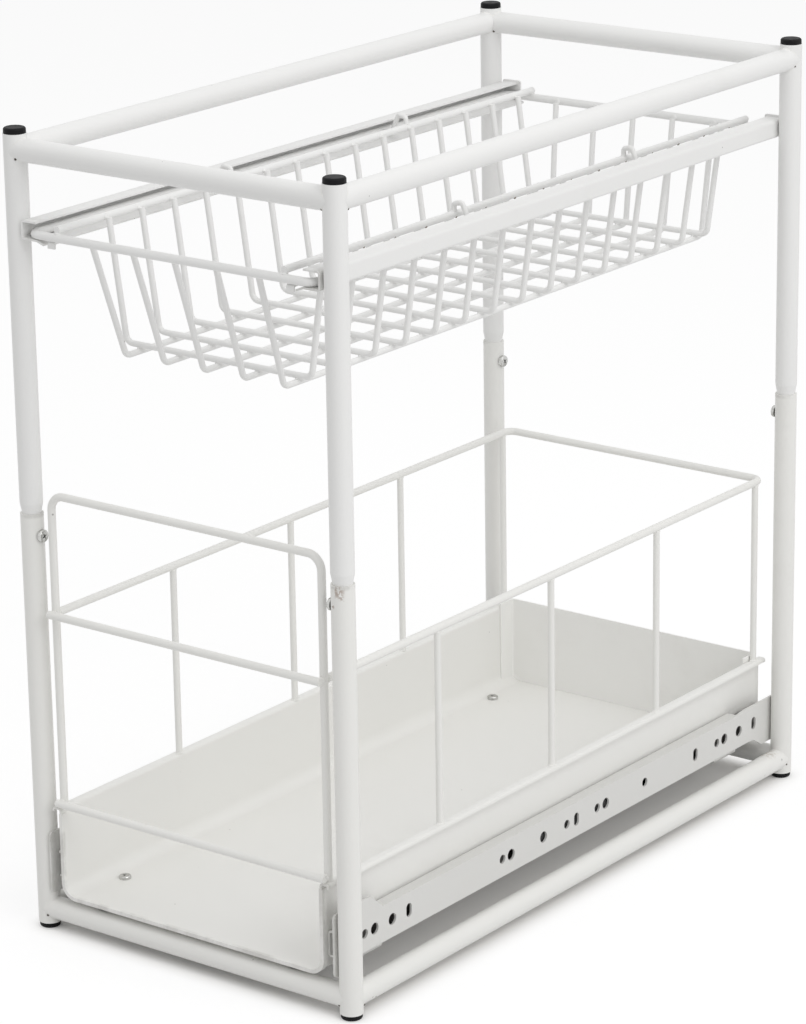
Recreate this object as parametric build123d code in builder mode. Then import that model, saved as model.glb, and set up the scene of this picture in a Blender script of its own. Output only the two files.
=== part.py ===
"""Two-tier pull-out organizer for the space under a sink.

Four telescoped tube posts carry a wire basket that runs in two folded channels and, below
it, a sheet tray with a wire guard that runs on two ball slides. Millimetres, +Z up, +Y to
the back. The origin is the middle of the footprint, on the floor.
"""

import os

from build123d import *

# Tube frame
frame_width = 212.0
frame_depth = 412.0
frame_height = 426.2
tube_diameter = 12.0
tube_wall = 1.0
rail_end_inset = 8.1
joint_height = 227.1
neck_length = 26.0
neck_taper_height = 5.5
neck_clearance = 0.05
weld_gap = 0.03
overrun = 1.0

# Plastic caps
foot_cap_height = 3.0
top_cap_height = 3.0
cap_edge_radius = 1.2
cap_plug_length = 9.0
cap_plug_clearance = 0.05
cap_side_inset = 0.3
foot_side_inset = 0.5
foot_edge_radius = 1.3

# Pan-head screws through the telescoped joints
joint_screw_drop = 11.5
joint_screw_diameter = 3.0
joint_screw_length = 7.0
joint_screw_head_diameter = 6.8
joint_screw_head_height = 2.1
joint_screw_head_round = 0.9
screw_clearance = 0.05

# Channels that carry the basket
channel_sheet = 1.0
channel_height = 10.0
channel_top_height = 381.0
channel_top_flange = 10.0
channel_bottom_flange = 10.0
channel_lip_reach = 4.5
channel_lip_drop = 1.6
channel_bend = 1.3
channel_front_inset = 1.0
channel_rear_inset = 3.0
stop_plate_thickness = 1.2
stop_plate_width = 12.0
stop_plate_rise = 1.0
stop_plate_corner = 1.2

# Wire basket
rim_wire = 4.4
inner_rim_wire = 3.8
basket_wire = 3.2
rim_bend = 5.5
runner_channel_gap = 0.08
runner_web_gap = 1.9
rim_front_inset = 0.2
rim_stop_gap = 0.5
inner_rim_inset = 17.4
basket_side_lean = 12.5
basket_floor_drop = 62.0
basket_wire_bend = 4.5
basket_front_foot_inset = 24.0
basket_rear_foot_inset = 11.0
long_wire_count = 5
long_wire_margin = 8.6
long_wire_pitch_spread = 1.0
long_wire_top_drop = 0.4
cross_wire_count = 15
cross_wire_front_inset = 34.9
cross_wire_back_inset = 19.0
cross_wires_per_group = 5
arm_wire = 2.7
arm_gap_count = 3
arm_rise = 3.6
arm_crown = 1.0
arm_crown_reach = 5.0
arm_dip_inset = 5.6
arm_dip_rise = 0.8
arm_bend = 1.7
stop_tab_width = 4.5
stop_tab_length = 7.0
stop_tab_drop = 3.0
stop_tab_sheet = 1.2
stop_tab_corner_gap = 2.0
contact_gap = 0.02

# Ball slides
slide_length = 406.0
slide_front_inset = 1.0
slide_center_height = 36.6
slide_height = 19.6
slide_thickness = 6.6
slide_web_sheet = 1.2
slide_flange_sheet = 1.0
slide_lip_depth = 0.9
slide_race_length = 330.0
slide_foot_length = 30.0
slide_low_foot_length = 21.5
slide_foot_top_rise = 8.6
slide_foot_bottom_drop = 5.6
slide_foot_step = 9.0
slide_foot_corner = 2.5
slide_foot_hollow = 8.0
ball_diameter = 2.4
ball_clearance = 0.05
race_depth = 0.3
ball_count = 6
ball_pitch = 17.0
ball_web_gap = 1.6
cage_sheet = 0.4
cage_gap = 0.25
cage_end_margin = 6.0
cage_lip_gap = 0.25
cage_stop_gap = 2.0
cage_bend = 0.4
drawer_member_sheet = 1.0
drawer_member_bend = 1.2
drawer_member_front_inset = 6.0
drawer_member_rear_inset = 12.0
drawer_foot_length = 22.0
drawer_foot_reach = 18.0
small_hole_diameter = 5.0
large_hole_diameter = 6.2
slot_hole_length = 7.4
slot_hole_width = 4.4

# Tray
tray_side_gap = 8.0
tray_sheet = 1.0
tray_floor_height = 20.6
tray_top_height = 70.2
tray_front_inset = 1.4
tray_rear_inset = 9.0
tray_floor_bend = 7.5
tray_top_bend = 1.4
tray_flange_reach = 4.6
tray_flange_turn = 1.8
tray_flange_bend = 1.1
tray_hem_width = 3.6
tray_hem_extra = 0.5
rear_panel_rise = 2.2
rear_panel_inset = 1.5
rear_panel_tab = 12.0
rear_panel_bend = 2.0
rear_panel_gap = 0.05
tray_screw_diameter = 3.0
tray_screw_head_diameter = 6.4
tray_screw_head_height = 1.9
tray_screw_head_round = 0.8
tray_screw_length = 3.6
tray_screw_bend_gap = 0.2
tray_screw_end_inset = 36.0
tray_travel = 260.0
bumper_diameter = 8.4
bumper_rail_gap = 0.4
bumper_round = 0.6
bumper_inset = 23.0
bumper_hem_gap = 0.1

# Wire guard on the tray
guard_wire = 4.2
upright_wire = 3.6
guard_inset = 0.1
guard_wire_outset = 0.8
guard_bar_overhang = 1.2
guard_top_height = 238.5
guard_middle_height = 175.4
guard_corner = 8.0
guard_rear_inset = 9.5
guard_rear_corner = 6.0
upright_count = 4
upright_first_inset = 97.0
upright_last_inset = 7.0

# Places that follow from the sizes above
tube_radius = tube_diameter / 2
tube_bore_radius = tube_radius - tube_wall
neck_radius = tube_bore_radius - neck_clearance
post_x = frame_width / 2 - tube_radius
post_y = frame_depth / 2 - tube_radius
inner_face_x = post_x - tube_radius
tube_bottom = foot_cap_height
tube_top = frame_height - top_cap_height
base_rail_height = tube_bottom + rail_end_inset
top_rail_height = tube_top - rail_end_inset
frame_front = -frame_depth / 2
frame_back = frame_depth / 2
sides = {"left": -1, "right": 1}
corners = {
    "front_left": (-1, -1),
    "front_right": (1, -1),
    "rear_left": (-1, 1),
    "rear_right": (1, 1),
}

os.makedirs("parts", exist_ok=True)


def save(part, name):
    """Label a finished piece and write it under its own name."""
    part.label = name
    export_step(part, f"parts/{name}.step")


def cross_plane(y):
    """Upright plane across the organizer at y, local X to the right and local Y up."""
    return Plane(origin=(0, y, 0), x_dir=(1, 0, 0), z_dir=(0, -1, 0))


def end_plane(line):
    """Plane square to the start of a wire's route."""
    return Plane(origin=line @ 0, z_dir=line % 0)


# Lower posts: plain tubes, open at the joint, with a hole for the joint screw
joint_screw_height = joint_height - joint_screw_drop
joint_hole_radius = joint_screw_diameter / 2 + screw_clearance

for corner, (side, end) in corners.items():
    with BuildPart() as lower_post:
        with BuildSketch(Plane.XY.offset(tube_bottom)):
            with Locations((side * post_x, end * post_y)):
                Circle(tube_radius)
                Circle(tube_bore_radius, mode=Mode.SUBTRACT)
        extrude(amount=joint_height - tube_bottom)
        screw_seat = Plane(
            origin=(side * (inner_face_x - overrun), end * post_y, joint_screw_height),
            z_dir=(-side, 0, 0),
        )
        with Locations(screw_seat):
            Hole(joint_hole_radius, depth=tube_radius)
    save(lower_post.part, f"lower_post_{corner}")

# Upper posts: necked at the foot so that they plug into the lower posts
neck_bottom = joint_height - neck_length
shoulder_height = joint_height + neck_taper_height

for corner, (side, end) in corners.items():
    with BuildPart() as upper_post:
        axis_plane = Plane(origin=(side * post_x, end * post_y, 0), x_dir=(1, 0, 0), z_dir=(0, -1, 0))
        with BuildSketch(axis_plane):
            with BuildLine():
                Polyline(
                    (neck_radius - tube_wall, neck_bottom),
                    (neck_radius, neck_bottom),
                    (neck_radius, joint_height + weld_gap),
                    (tube_radius, shoulder_height),
                    (tube_radius, tube_top),
                    (tube_bore_radius, tube_top),
                    (tube_bore_radius, shoulder_height),
                    (neck_radius - tube_wall, joint_height + weld_gap),
                    close=True,
                )
            make_face()
        revolve(axis=Axis(axis_plane.origin, (0, 0, 1)))
        screw_seat = Plane(
            origin=(side * (inner_face_x - overrun), end * post_y, joint_screw_height),
            z_dir=(-side, 0, 0),
        )
        with Locations(screw_seat):
            Hole(joint_hole_radius, depth=tube_radius)
    save(upper_post.part, f"upper_post_{corner}")

# Rails: tubes coped to the posts, mitred to each other on the inner side of each corner
coped_radius = tube_radius + weld_gap
rail_levels = {"base": base_rail_height, "top": top_rail_height}

for level, height in rail_levels.items():
    for name, end in (("front", -1), ("rear", 1)):
        with BuildPart() as cross_rail:
            with BuildSketch(Plane(origin=(-post_x, end * post_y, height), z_dir=(1, 0, 0))):
                Circle(tube_radius)
                Circle(tube_bore_radius, mode=Mode.SUBTRACT)
            extrude(amount=2 * post_x)
            with BuildSketch(Plane.XY.offset(height - tube_radius)):
                Polygon(
                    (-post_x + weld_gap, end * (post_y + tube_radius)),
                    (-post_x + weld_gap, end * post_y),
                    (-post_x + weld_gap + tube_radius, end * (post_y - tube_radius)),
                    (post_x - weld_gap - tube_radius, end * (post_y - tube_radius)),
                    (post_x - weld_gap, end * post_y),
                    (post_x - weld_gap, end * (post_y + tube_radius)),
                    align=None,
                )
            extrude(amount=tube_diameter, mode=Mode.INTERSECT)
            with Locations((-post_x, end * post_y, height), (post_x, end * post_y, height)):
                Cylinder(coped_radius, 2 * tube_diameter, mode=Mode.SUBTRACT)
        save(cross_rail.part, f"{level}_rail_{name}")

    for name, side in sides.items():
        with BuildPart() as side_rail:
            with BuildSketch(Plane(origin=(side * post_x, -post_y, height), z_dir=(0, 1, 0))):
                Circle(tube_radius)
                Circle(tube_bore_radius, mode=Mode.SUBTRACT)
            extrude(amount=2 * post_y)
            with BuildSketch(Plane.XY.offset(height - tube_radius)):
                Polygon(
                    (side * (post_x + tube_radius), -post_y + weld_gap),
                    (side * post_x, -post_y + weld_gap),
                    (side * (post_x - tube_radius), -post_y + weld_gap + tube_radius),
                    (side * (post_x - tube_radius), post_y - weld_gap - tube_radius),
                    (side * post_x, post_y - weld_gap),
                    (side * (post_x + tube_radius), post_y - weld_gap),
                    align=None,
                )
            extrude(amount=tube_diameter, mode=Mode.INTERSECT)
            with Locations((side * post_x, -post_y, height), (side * post_x, post_y, height)):
                Cylinder(coped_radius, 2 * tube_diameter, mode=Mode.SUBTRACT)
        save(side_rail.part, f"{level}_rail_{name}")

# Flat caps with rounded edges in the tops of the posts
plug_radius = tube_bore_radius - cap_plug_clearance
cap_radius = tube_radius - cap_side_inset
foot_radius = tube_radius - foot_side_inset

with BuildPart() as post_caps:
    for side, end in corners.values():
        cap_plane = Plane(origin=(side * post_x, end * post_y, tube_top), x_dir=(1, 0, 0), z_dir=(0, -1, 0))
        with BuildSketch(cap_plane):
            with BuildLine():
                FilletPolyline(
                    (0, -cap_plug_length),
                    (plug_radius, -cap_plug_length),
                    (plug_radius, 0),
                    (cap_radius, 0),
                    (cap_radius, top_cap_height),
                    (0, top_cap_height),
                    radius=[0, 0, 0, 0, cap_edge_radius, 0],
                    close=True,
                )
            make_face()
        revolve(axis=Axis(cap_plane.origin, (0, 0, 1)))
save(post_caps.part, "post_caps")

# Caps under the posts, a little narrower than the tubes
with BuildPart() as foot_caps:
    for side, end in corners.values():
        cap_plane = Plane(origin=(side * post_x, end * post_y, 0), x_dir=(1, 0, 0), z_dir=(0, -1, 0))
        with BuildSketch(cap_plane):
            with BuildLine():
                FilletPolyline(
                    (0, 0),
                    (foot_radius, 0),
                    (foot_radius, foot_cap_height),
                    (plug_radius, foot_cap_height),
                    (plug_radius, foot_cap_height + cap_plug_length),
                    (0, foot_cap_height + cap_plug_length),
                    radius=[0, foot_edge_radius, 0, 0, 0, 0],
                    close=True,
                )
            make_face()
        revolve(axis=Axis(cap_plane.origin, (0, 0, 1)))
save(foot_caps.part, "foot_caps")

# Screws that lock the telescoped posts, heads on the inner side
with BuildPart() as joint_screws:
    for side, end in corners.values():
        head_plane = Plane(
            origin=(side * inner_face_x, end * post_y, joint_screw_height), z_dir=(-side, 0, 0)
        )
        with BuildSketch(head_plane):
            Circle(joint_screw_head_diameter / 2)
        extrude(amount=joint_screw_head_height)
        with BuildSketch(head_plane):
            Circle(joint_screw_diameter / 2)
        extrude(amount=-joint_screw_length)
    head_rims = joint_screws.edges().filter_by(
        lambda edge: edge.geom_type == GeomType.CIRCLE
        and abs(edge.radius - joint_screw_head_diameter / 2) < weld_gap
        and abs(edge.center().X) < inner_face_x - joint_screw_head_height / 2
    )
    fillet(head_rims, joint_screw_head_round)
save(joint_screws.part, "joint_screws")

# Channels: folded sheet, open towards the middle, with a drooping lower lip
channel_front = frame_front + channel_front_inset
channel_back = frame_back - channel_rear_inset
channel_length = channel_back - channel_front
channel_web_x = inner_face_x - channel_sheet / 2
channel_upper = channel_top_height - channel_sheet / 2
channel_lower = channel_top_height - channel_height + channel_sheet / 2
channel_floor = channel_top_height - channel_height + channel_sheet

for name, side in sides.items():
    with BuildPart() as channel:
        with BuildSketch(cross_plane(channel_back)):
            with BuildLine() as channel_fold:
                FilletPolyline(
                    (side * (inner_face_x - channel_top_flange), channel_upper),
                    (side * channel_web_x, channel_upper),
                    (side * channel_web_x, channel_lower),
                    (side * (inner_face_x - channel_bottom_flange), channel_lower),
                    (
                        side * (inner_face_x - channel_bottom_flange - channel_lip_reach),
                        channel_lower - channel_lip_drop,
                    ),
                    radius=channel_bend,
                )
            trace(line_width=channel_sheet)
        extrude(amount=channel_length)
    save(channel.part, f"basket_channel_{name}")

# Stop plates across the back ends of the channels
with BuildPart() as channel_stops:
    for side in sides.values():
        with BuildSketch(cross_plane(channel_back)):
            stop_height = channel_height + stop_plate_rise
            with Locations(
                (
                    side * (inner_face_x - stop_plate_width / 2),
                    channel_top_height - channel_height + stop_height / 2,
                )
            ):
                RectangleRounded(stop_plate_width, stop_height, stop_plate_corner)
        extrude(amount=-stop_plate_thickness)
save(channel_stops.part, "channel_stops")

# Basket rim: one closed wire whose sides run in the channels
rim_radius = rim_wire / 2
wire_radius = basket_wire / 2
rim_height = channel_floor + runner_channel_gap + rim_radius
rim_x = inner_face_x - channel_sheet - runner_web_gap - rim_radius
rim_front = frame_front + rim_front_inset + rim_radius
rim_back = channel_back - rim_stop_gap - rim_radius

with BuildPart() as basket_rim:
    with BuildLine(Plane.XY.offset(rim_height)) as rim_route:
        FilletPolyline(
            (0, rim_front),
            (rim_x, rim_front),
            (rim_x, rim_back),
            (-rim_x, rim_back),
            (-rim_x, rim_front),
            radius=[0] + [rim_bend] * 4,
            close=True,
        )
    with BuildSketch(end_plane(rim_route.line)):
        Circle(rim_radius)
    sweep(path=rim_route.line)
save(basket_rim.part, "basket_rim")

# Inner rims: straight wires lapped on the front and back of the rim
inner_rim_radius = inner_rim_wire / 2
inner_rim_height = rim_height + rim_radius + inner_rim_radius + contact_gap
inner_rim_half_width = rim_x - inner_rim_inset

with BuildPart() as inner_rims:
    for side in sides.values():
        with BuildSketch(
            Plane(
                origin=(side * inner_rim_half_width, rim_front, inner_rim_height),
                z_dir=(0, 1, 0),
            )
        ):
            Circle(inner_rim_radius)
        extrude(amount=rim_back - rim_front)
save(inner_rims.part, "basket_inner_rims")

# Basket floor and walls: long wires run front to back under the cross wires
basket_floor_half_width = inner_rim_half_width - basket_side_lean
long_wire_span = 2 * (basket_floor_half_width - long_wire_margin)
long_wire_pitch = long_wire_span / (long_wire_count - 1)
long_wire_top_pitch = long_wire_pitch + long_wire_pitch_spread
long_wire_height = rim_height - basket_floor_drop
cross_wire_height = long_wire_height + basket_wire + contact_gap
long_top_front = rim_front + rim_radius + wire_radius + contact_gap
long_top_back = rim_back - rim_radius - wire_radius - contact_gap
long_foot_front = rim_front + basket_front_foot_inset
long_foot_back = rim_back - basket_rear_foot_inset
long_wire_top = rim_height - long_wire_top_drop

with BuildPart() as long_wires:
    for index in range(long_wire_count):
        x = (index - (long_wire_count - 1) / 2) * long_wire_pitch
        top_x = (index - (long_wire_count - 1) / 2) * long_wire_top_pitch
        with BuildLine() as wire_route:
            FilletPolyline(
                (top_x, long_top_front, long_wire_top),
                (x, long_foot_front, long_wire_height),
                (x, long_foot_back, long_wire_height),
                (top_x, long_top_back, long_wire_top),
                radius=basket_wire_bend,
            )
        with BuildSketch(end_plane(wire_route.line)):
            Circle(wire_radius)
        sweep(path=wire_route.line)
save(long_wires.part, "basket_long_wires")

cross_top_x = inner_rim_half_width - inner_rim_radius - wire_radius - contact_gap
cross_group_count = cross_wire_count // cross_wires_per_group
first_cross_wire_y = rim_front + cross_wire_front_inset
last_cross_wire_y = rim_back - cross_wire_back_inset
cross_wire_pitch = (last_cross_wire_y - first_cross_wire_y) / (cross_wire_count - 1)


def cross_wire_y(index):
    """Distance to the back of a cross wire, counted from the front."""
    return first_cross_wire_y + index * cross_wire_pitch


for group in range(cross_group_count):
    with BuildPart() as cross_wires:
        for index in range(group * cross_wires_per_group, (group + 1) * cross_wires_per_group):
            y = cross_wire_y(index)
            with BuildLine() as wire_route:
                FilletPolyline(
                    (-cross_top_x, y, inner_rim_height),
                    (-basket_floor_half_width, y, cross_wire_height),
                    (basket_floor_half_width, y, cross_wire_height),
                    (cross_top_x, y, inner_rim_height),
                    radius=basket_wire_bend,
                )
            with BuildSketch(end_plane(wire_route.line)):
                Circle(wire_radius)
            sweep(path=wire_route.line)
    save(cross_wires.part, f"basket_cross_wires_{group + 1}")

# Arms: bent wires that rise off the inner rims and drop to the runner wires
arm_radius = arm_wire / 2
arm_foot_height = inner_rim_height + inner_rim_radius + contact_gap
arm_shoulder_height = arm_foot_height + arm_rise
arm_end_x = rim_x - rim_radius - contact_gap
middle_wire = (cross_wire_count - 1) / 2

with BuildPart() as basket_arms:
    for side in sides.values():
        for step in (-arm_gap_count, arm_gap_count):
            y = cross_wire_y(middle_wire + step)
            with BuildLine() as arm_route:
                FilletPolyline(
                    (side * inner_rim_half_width, y, arm_foot_height),
                    (side * inner_rim_half_width, y, arm_shoulder_height),
                    (
                        side * (inner_rim_half_width + arm_crown_reach),
                        y,
                        arm_shoulder_height + arm_crown,
                    ),
                    (side * (arm_end_x - arm_dip_inset), y, rim_height + arm_dip_rise),
                    (side * arm_end_x, y, rim_height),
                    radius=arm_bend,
                )
            with BuildSketch(end_plane(arm_route.line)):
                Circle(arm_radius)
            sweep(path=arm_route.line)
save(basket_arms.part, "basket_arms")

# Stop tabs: small bent plates under the front corners of the rim
tab_x = inner_face_x - channel_bottom_flange - channel_lip_reach - stop_tab_corner_gap
tab_top = rim_height - rim_radius - contact_gap - stop_tab_sheet / 2

with BuildPart() as stop_tabs:
    for side in sides.values():
        with BuildSketch(Plane.YZ.offset(side * (tab_x - stop_tab_width / 2))):
            with BuildLine():
                FilletPolyline(
                    (rim_front + stop_tab_length, tab_top),
                    (rim_front, tab_top),
                    (rim_front, tab_top - stop_tab_drop),
                    radius=stop_tab_sheet,
                )
            trace(line_width=stop_tab_sheet)
        extrude(amount=stop_tab_width / 2, both=True)
save(stop_tabs.part, "basket_stop_tabs")

# Slide outer members: plates with a widened foot at each end, folded into a race between
slide_front = frame_front + slide_front_inset
slide_back = slide_front + slide_length
slide_middle = (slide_front + slide_back) / 2
race_front = slide_middle - slide_race_length / 2
race_back = slide_middle + slide_race_length / 2
slide_half = slide_height / 2
ball_radius = ball_diameter / 2
ball_rise = slide_half - slide_flange_sheet + race_depth - ball_radius
ball_x = inner_face_x - slide_web_sheet - ball_web_gap - ball_radius
race_radius = ball_radius + ball_clearance
foot_low = slide_center_height - slide_half - slide_foot_bottom_drop
foot_high = slide_center_height + slide_half + slide_foot_top_rise
band_low = slide_center_height - slide_half
band_high = slide_center_height + slide_half
flange_axis = slide_half - slide_flange_sheet / 2
lip_x = inner_face_x - slide_thickness + slide_flange_sheet / 2
lip_end = slide_half - slide_flange_sheet - slide_lip_depth
slide_web_x = inner_face_x - slide_web_sheet / 2
slot_shares = (-0.35, 0.015, 0.3, 0.448)
large_shares = (-0.42, -0.384, -0.132, -0.06, 0.083, 0.373, 0.41)
small_shares = (-0.44, -0.151, -0.007, 0.063, 0.176, 0.354)


def hole_places(hole_shares):
    """Places along the slide's plate, from shares of its length counted from the middle."""
    return [(slide_middle + share * slide_length, slide_center_height) for share in hole_shares]


for name, side in sides.items():
    with BuildPart() as slide_outer:
        with BuildSketch(Plane.YZ.offset(side * slide_web_x)) as plate:
            with BuildLine():
                Polyline(
                    (slide_front, foot_low),
                    (slide_front, foot_high),
                    (slide_front + slide_foot_length, foot_high),
                    (slide_front + slide_foot_length + slide_foot_step, band_high),
                    (slide_back - slide_foot_length - slide_foot_step, band_high),
                    (slide_back - slide_foot_length, foot_high),
                    (slide_back, foot_high),
                    (slide_back, foot_low),
                    (slide_back - slide_low_foot_length + slide_foot_step, foot_low),
                    (slide_back - slide_low_foot_length, band_low),
                    (slide_front + slide_low_foot_length, band_low),
                    (slide_front + slide_low_foot_length - slide_foot_step, foot_low),
                    close=True,
                )
            make_face()
            fillet(
                plate.vertices().filter_by(lambda vertex: abs(vertex.Y - band_low) < weld_gap),
                slide_foot_hollow,
            )
            fillet(
                plate.vertices().filter_by(lambda vertex: abs(vertex.Y - band_low) > slide_foot_corner),
                slide_foot_corner,
            )
            with Locations(*hole_places(small_shares)):
                Circle(small_hole_diameter / 2, mode=Mode.SUBTRACT)
            with Locations(*hole_places(large_shares)):
                Circle(large_hole_diameter / 2, mode=Mode.SUBTRACT)
            with Locations(*hole_places(slot_shares)):
                SlotOverall(slot_hole_length, slot_hole_width, rotation=90, mode=Mode.SUBTRACT)
        extrude(amount=slide_web_sheet / 2, both=True)
        with BuildSketch(cross_plane(race_back)):
            for level in (-1, 1):
                with BuildLine():
                    Polyline(
                        (side * slide_web_x, slide_center_height + level * flange_axis),
                        (side * lip_x, slide_center_height + level * flange_axis),
                        (side * lip_x, slide_center_height + level * lip_end),
                    )
                trace(line_width=slide_flange_sheet)
        extrude(amount=slide_race_length)
        with BuildSketch(cross_plane(race_back + overrun)):
            with Locations(
                (side * ball_x, slide_center_height - ball_rise),
                (side * ball_x, slide_center_height + ball_rise),
            ):
                Circle(race_radius)
        extrude(amount=slide_race_length + 2 * overrun, mode=Mode.SUBTRACT)
    save(slide_outer.part, f"slide_outer_{name}")

# Ball cages: folded strips that hold the balls between the members
cage_length = (ball_count - 1) * ball_pitch + 2 * cage_end_margin
cage_front = race_front + tray_travel / 2 + cage_stop_gap
cage_back = cage_front + cage_length
cage_web_x = inner_face_x - slide_web_sheet - cage_gap - cage_sheet / 2
cage_ear_x = inner_face_x - slide_thickness + slide_flange_sheet + cage_lip_gap
ball_places = [cage_front + cage_end_margin + index * ball_pitch for index in range(ball_count)]

for name, side in sides.items():
    with BuildPart() as ball_cage:
        with BuildSketch(cross_plane(cage_back)):
            with BuildLine():
                FilletPolyline(
                    (side * cage_ear_x, slide_center_height + ball_rise),
                    (side * cage_web_x, slide_center_height + ball_rise),
                    (side * cage_web_x, slide_center_height - ball_rise),
                    (side * cage_ear_x, slide_center_height - ball_rise),
                    radius=cage_bend,
                )
            trace(line_width=cage_sheet)
        extrude(amount=cage_length)
        with BuildSketch(Plane.XY.offset(slide_center_height - slide_half)):
            with Locations(*[(side * ball_x, y) for y in ball_places]):
                Circle(race_radius)
        extrude(amount=slide_height, mode=Mode.SUBTRACT)
    save(ball_cage.part, f"ball_cage_{name}")

with BuildPart() as slide_balls:
    for side in sides.values():
        for level in (-1, 1):
            with Locations(
                *[(side * ball_x, y, slide_center_height + level * ball_rise) for y in ball_places]
            ):
                Sphere(ball_radius)
save(slide_balls.part, "slide_balls")

# Tray trough: one folded sheet, open in front, with its top edges rolled outwards
tray_front = frame_front + tray_front_inset
tray_back = frame_back - tray_rear_inset
tray_length = tray_back - tray_front
tray_half_width = inner_face_x - tray_side_gap
tray_wall_x = tray_half_width - tray_sheet / 2
tray_floor_axis = tray_floor_height + tray_sheet / 2
tray_top_axis = tray_top_height - tray_sheet / 2
flange_edge_x = tray_half_width + tray_flange_reach - tray_sheet / 2
screw_x = tray_wall_x - tray_floor_bend - tray_screw_head_diameter / 2 - tray_screw_bend_gap
screw_places = [
    (side * screw_x, y)
    for side in sides.values()
    for y in (tray_front + tray_screw_end_inset, tray_back - tray_screw_end_inset)
]
tray_screw_hole_radius = tray_screw_diameter / 2 + screw_clearance

with BuildPart() as tray_trough:
    with BuildSketch(cross_plane(tray_back)):
        with BuildLine():
            FilletPolyline(
                (-flange_edge_x, tray_top_axis - tray_flange_turn),
                (-flange_edge_x, tray_top_axis),
                (-tray_wall_x, tray_top_axis),
                (-tray_wall_x, tray_floor_axis),
                (tray_wall_x, tray_floor_axis),
                (tray_wall_x, tray_top_axis),
                (flange_edge_x, tray_top_axis),
                (flange_edge_x, tray_top_axis - tray_flange_turn),
                radius=[
                    tray_flange_bend,
                    tray_top_bend,
                    tray_floor_bend,
                    tray_floor_bend,
                    tray_top_bend,
                    tray_flange_bend,
                ],
            )
        trace(line_width=tray_sheet)
    extrude(amount=tray_length)
    with BuildSketch(cross_plane(tray_front + tray_hem_width)):
        with BuildLine():
            FilletPolyline(
                (-tray_wall_x, tray_top_axis - 2 * tray_top_bend),
                (-tray_wall_x, tray_floor_axis),
                (tray_wall_x, tray_floor_axis),
                (tray_wall_x, tray_top_axis - 2 * tray_top_bend),
                radius=tray_floor_bend,
            )
        trace(line_width=tray_sheet + 2 * tray_hem_extra)
    extrude(amount=tray_hem_width)
    with BuildSketch(Plane.XY.offset(tray_floor_height - overrun)):
        with Locations(*screw_places):
            Circle(tray_screw_hole_radius)
    extrude(amount=tray_sheet + 2 * overrun, mode=Mode.SUBTRACT)
save(tray_trough.part, "tray_trough")

# Tray rear panel: a separate plate with tabs folded along the walls
panel_x = tray_half_width - tray_sheet - rear_panel_gap - tray_sheet / 2
panel_y = tray_back - rear_panel_inset - tray_sheet / 2
panel_bottom = tray_floor_height + tray_sheet + rear_panel_gap
panel_top = tray_top_height + rear_panel_rise
panel_edge_x = tray_half_width - tray_sheet - rear_panel_gap

with BuildPart() as tray_rear_panel:
    with BuildSketch(Plane.XY.offset(panel_bottom)):
        with BuildLine():
            FilletPolyline(
                (-panel_x, panel_y - rear_panel_tab),
                (-panel_x, panel_y),
                (panel_x, panel_y),
                (panel_x, panel_y - rear_panel_tab),
                radius=rear_panel_bend,
            )
        trace(line_width=tray_sheet)
    extrude(amount=panel_top - panel_bottom)
    with BuildSketch(cross_plane(tray_back)):
        with BuildLine():
            FilletPolyline(
                (-panel_edge_x, panel_top),
                (-panel_edge_x, panel_bottom),
                (panel_edge_x, panel_bottom),
                (panel_edge_x, panel_top),
                radius=tray_floor_bend - tray_sheet / 2 - rear_panel_gap,
            )
            Line((panel_edge_x, panel_top), (-panel_edge_x, panel_top))
        make_face()
    extrude(amount=2 * rear_panel_tab, mode=Mode.INTERSECT)
save(tray_rear_panel.part, "tray_rear_panel")

# Drawer members of the slides: channels on the tray walls, with feet under the tray floor
drawer_front = frame_front + drawer_member_front_inset
drawer_back = frame_back - drawer_member_rear_inset
drawer_half = ball_rise - ball_radius + race_depth
drawer_web_x = tray_half_width + drawer_member_sheet / 2
drawer_edge_x = inner_face_x - slide_web_sheet - cage_gap - cage_sheet - cage_gap
drawer_flange_axis = drawer_half - drawer_member_sheet / 2
foot_axis = tray_floor_height - drawer_member_sheet / 2

for name, side in sides.items():
    with BuildPart() as slide_drawer:
        with BuildSketch(cross_plane(drawer_back)):
            with BuildLine():
                FilletPolyline(
                    (side * drawer_edge_x, slide_center_height + drawer_flange_axis),
                    (side * drawer_web_x, slide_center_height + drawer_flange_axis),
                    (side * drawer_web_x, slide_center_height - drawer_flange_axis),
                    (side * drawer_edge_x, slide_center_height - drawer_flange_axis),
                    radius=drawer_member_bend,
                )
            trace(line_width=drawer_member_sheet)
        extrude(amount=drawer_back - drawer_front)
        with BuildSketch(cross_plane(drawer_back + overrun)):
            with Locations(
                (side * ball_x, slide_center_height - ball_rise),
                (side * ball_x, slide_center_height + ball_rise),
            ):
                Circle(race_radius)
        extrude(amount=drawer_back - drawer_front + 2 * overrun, mode=Mode.SUBTRACT)
        for _, y in screw_places[:2]:
            with BuildSketch(cross_plane(y + drawer_foot_length / 2)):
                with BuildLine():
                    FilletPolyline(
                        (side * drawer_web_x, slide_center_height - drawer_half + 2 * drawer_member_bend),
                        (side * drawer_web_x, foot_axis),
                        (side * (tray_half_width - drawer_foot_reach), foot_axis),
                        radius=drawer_member_bend,
                    )
                trace(line_width=drawer_member_sheet)
            extrude(amount=drawer_foot_length)
        with BuildSketch(Plane.XY.offset(foot_axis - drawer_member_sheet)):
            with Locations(*screw_places):
                Circle(tray_screw_hole_radius)
        extrude(amount=2 * drawer_member_sheet, mode=Mode.SUBTRACT)
    save(slide_drawer.part, f"slide_drawer_{name}")

# Screws down through the tray floor into the feet
tray_floor_top = tray_floor_height + tray_sheet

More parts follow.
